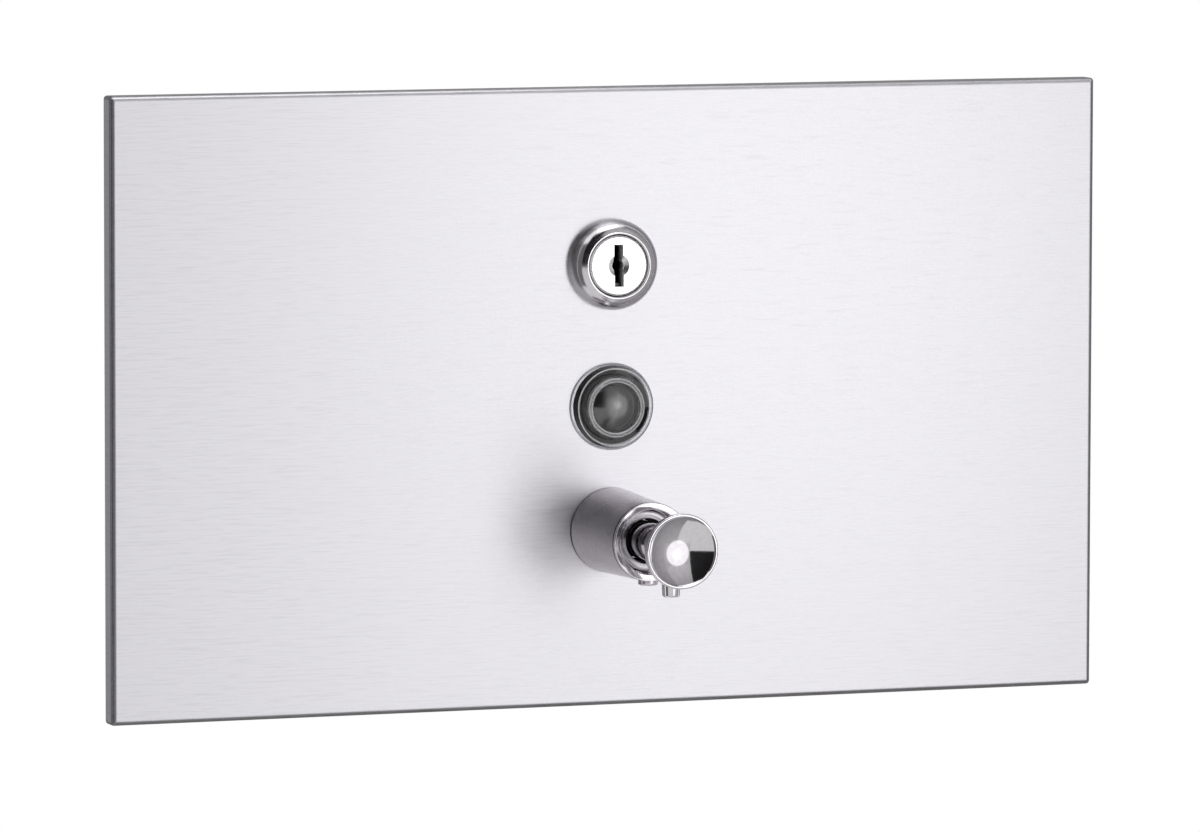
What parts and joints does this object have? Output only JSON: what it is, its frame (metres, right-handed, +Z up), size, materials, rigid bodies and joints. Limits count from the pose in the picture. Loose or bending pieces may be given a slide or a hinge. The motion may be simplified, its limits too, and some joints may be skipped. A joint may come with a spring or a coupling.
{
  "type": "recessed soap dispenser",
  "caption": "Recessed wall soap dispenser: brushed steel face panel with key lock, sight glass and push valve, on a wall box; it tips forward with its tank for filling.",
  "frame": {"origin": "centre of the wall opening, in the plane of the wall's surface", "axes": "+Y into the wall, +Z up, +X to the right as seen from the room"},
  "size_m": [0.2666, 0.1503, 0.1588],
  "materials": {
    "brushed_steel": "brushed along the width",
    "plain_steel": "plain mill finish",
    "chrome": "polished",
    "satin_chrome": "satin",
    "zinc_steel": "zinc plated",
    "plated_brass": "nickel plated",
    "clear_acrylic": "clear and glossy",
    "black_rubber": "matt",
    "grey_plastic": "moulded"
  },
  "bodies": {
    "base": {"wall_box": "plain_steel", "face_frame": "plain_steel", "lock_strike": "plain_steel", "wall_screw_1": "zinc_steel", "wall_screw_2": "zinc_steel", "wall_screw_3": "zinc_steel", "wall_screw_4": "zinc_steel", "hinge_leaf_fixed": "plain_steel", "hinge_pin": "plain_steel"},
    "panel": {"face_plate": "brushed_steel", "hinge_leaf_moving": "plain_steel", "tank_body": "plain_steel", "tank_cover": "plain_steel", "filler_neck": "plain_steel", "stop_angle_left": "plain_steel", "stop_angle_right": "plain_steel", "tank_stud_1": "zinc_steel", "tank_stud_2": "zinc_steel", "tank_stud_3": "zinc_steel", "tank_stud_4": "zinc_steel", "tank_nut_1": "zinc_steel", "tank_nut_2": "zinc_steel", "tank_nut_3": "zinc_steel", "tank_nut_4": "zinc_steel", "lock_housing": "chrome", "lock_nut": "zinc_steel", "sight_glass": "clear_acrylic", "window_gasket": "black_rubber", "window_nut": "grey_plastic", "valve_barrel": "satin_chrome", "barrel_screw": "chrome", "valve_cylinder": "plated_brass", "valve_gasket": "black_rubber", "valve_nut": "plated_brass", "gland_ring": "black_rubber", "inlet_valve": "black_rubber", "pickup_tube": "grey_plastic"},
    "lock": {"lock_plug": "chrome", "lock_cam": "zinc_steel", "cam_screw": "zinc_steel"},
    "button": {"push_knob": "chrome", "plunger": "chrome", "spout_nozzle": "chrome", "piston_seal": "black_rubber", "return_spring": "plain_steel"},
    "cap": {"filler_cap": "grey_plastic", "cap_gasket": "black_rubber"}
  },
  "joints": [
    {"name": "panel_tilt", "type": "hinge", "parent": "base", "child": "panel", "pos_m": [0, -0.0033, -0.0762], "axis": [1, 0, 0], "range_deg": [0, 40]},
    {"name": "lock_turn", "type": "hinge", "parent": "panel", "child": "lock", "pos_m": [0, -0.0068, 0.0341], "axis": [0, 1, 0], "range_deg": [0, 90]},
    {"name": "button_press", "type": "slide", "parent": "panel", "child": "button", "axis": [0, 1, 0], "range_m": [0, 0.01], "stiffness_N_per_m": 600, "springref_m": -0.005, "deforming": ["return_spring"]},
    {"name": "filler_cap_turn", "type": "hinge", "parent": "panel", "child": "cap", "pos_m": [0, 0.0444, 0.02], "axis": [0, 0, 1], "range_deg": [0, 90]}
  ]
}
